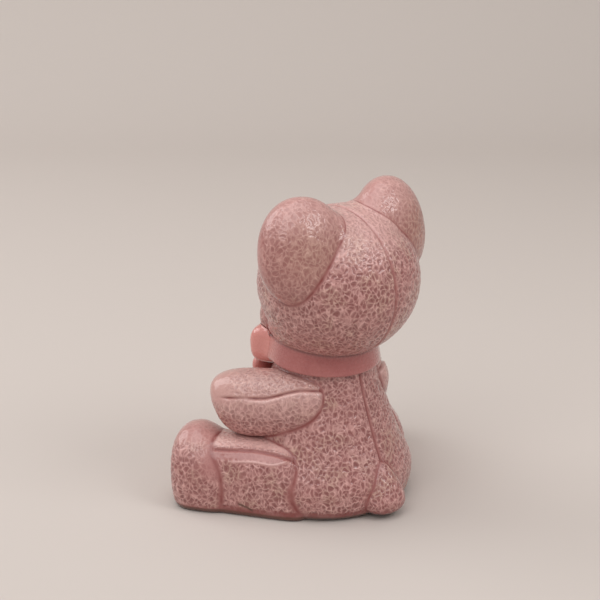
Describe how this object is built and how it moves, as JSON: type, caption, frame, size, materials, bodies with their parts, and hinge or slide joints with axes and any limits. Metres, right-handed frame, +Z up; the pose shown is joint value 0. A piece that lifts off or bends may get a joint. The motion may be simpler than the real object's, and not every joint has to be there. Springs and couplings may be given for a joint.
{
  "type": "ceramic bear figurine",
  "caption": "Seated glazed ceramic bear figurine with round ears, splayed legs, a stub tail and a ribbon tied in a bow.",
  "frame": {"origin": "on the surface the figurine sits on, under the centre of its bounding box", "axes": "+Z up, -Y the way the bear faces, +X towards its left side"},
  "size_m": [0.108, 0.0762, 0.1202],
  "materials": {
    "rose_glaze": "glossy dusty-rose glaze with a pale pearly network over a darker, pitted, plush-like relief",
    "ribbon_glaze": "smooth glossy deep-rose glaze",
    "dark_glaze": "smooth glossy near-black glaze"
  },
  "bodies": {
    "root": {"torso": "rose_glaze", "head": "rose_glaze", "left_ear": "rose_glaze", "right_ear": "rose_glaze", "muzzle": "rose_glaze", "nose": "dark_glaze", "left_eye": "dark_glaze", "right_eye": "dark_glaze", "left_arm": "rose_glaze", "right_arm": "rose_glaze", "left_leg": "rose_glaze", "right_leg": "rose_glaze", "left_foot": "rose_glaze", "right_foot": "rose_glaze", "tail": "rose_glaze", "neck_ribbon": "ribbon_glaze", "bow_knot": "ribbon_glaze", "bow_left_loop": "ribbon_glaze", "bow_right_loop": "ribbon_glaze", "bow_left_tail": "ribbon_glaze", "bow_right_tail": "ribbon_glaze"}
  },
  "joints": []
}
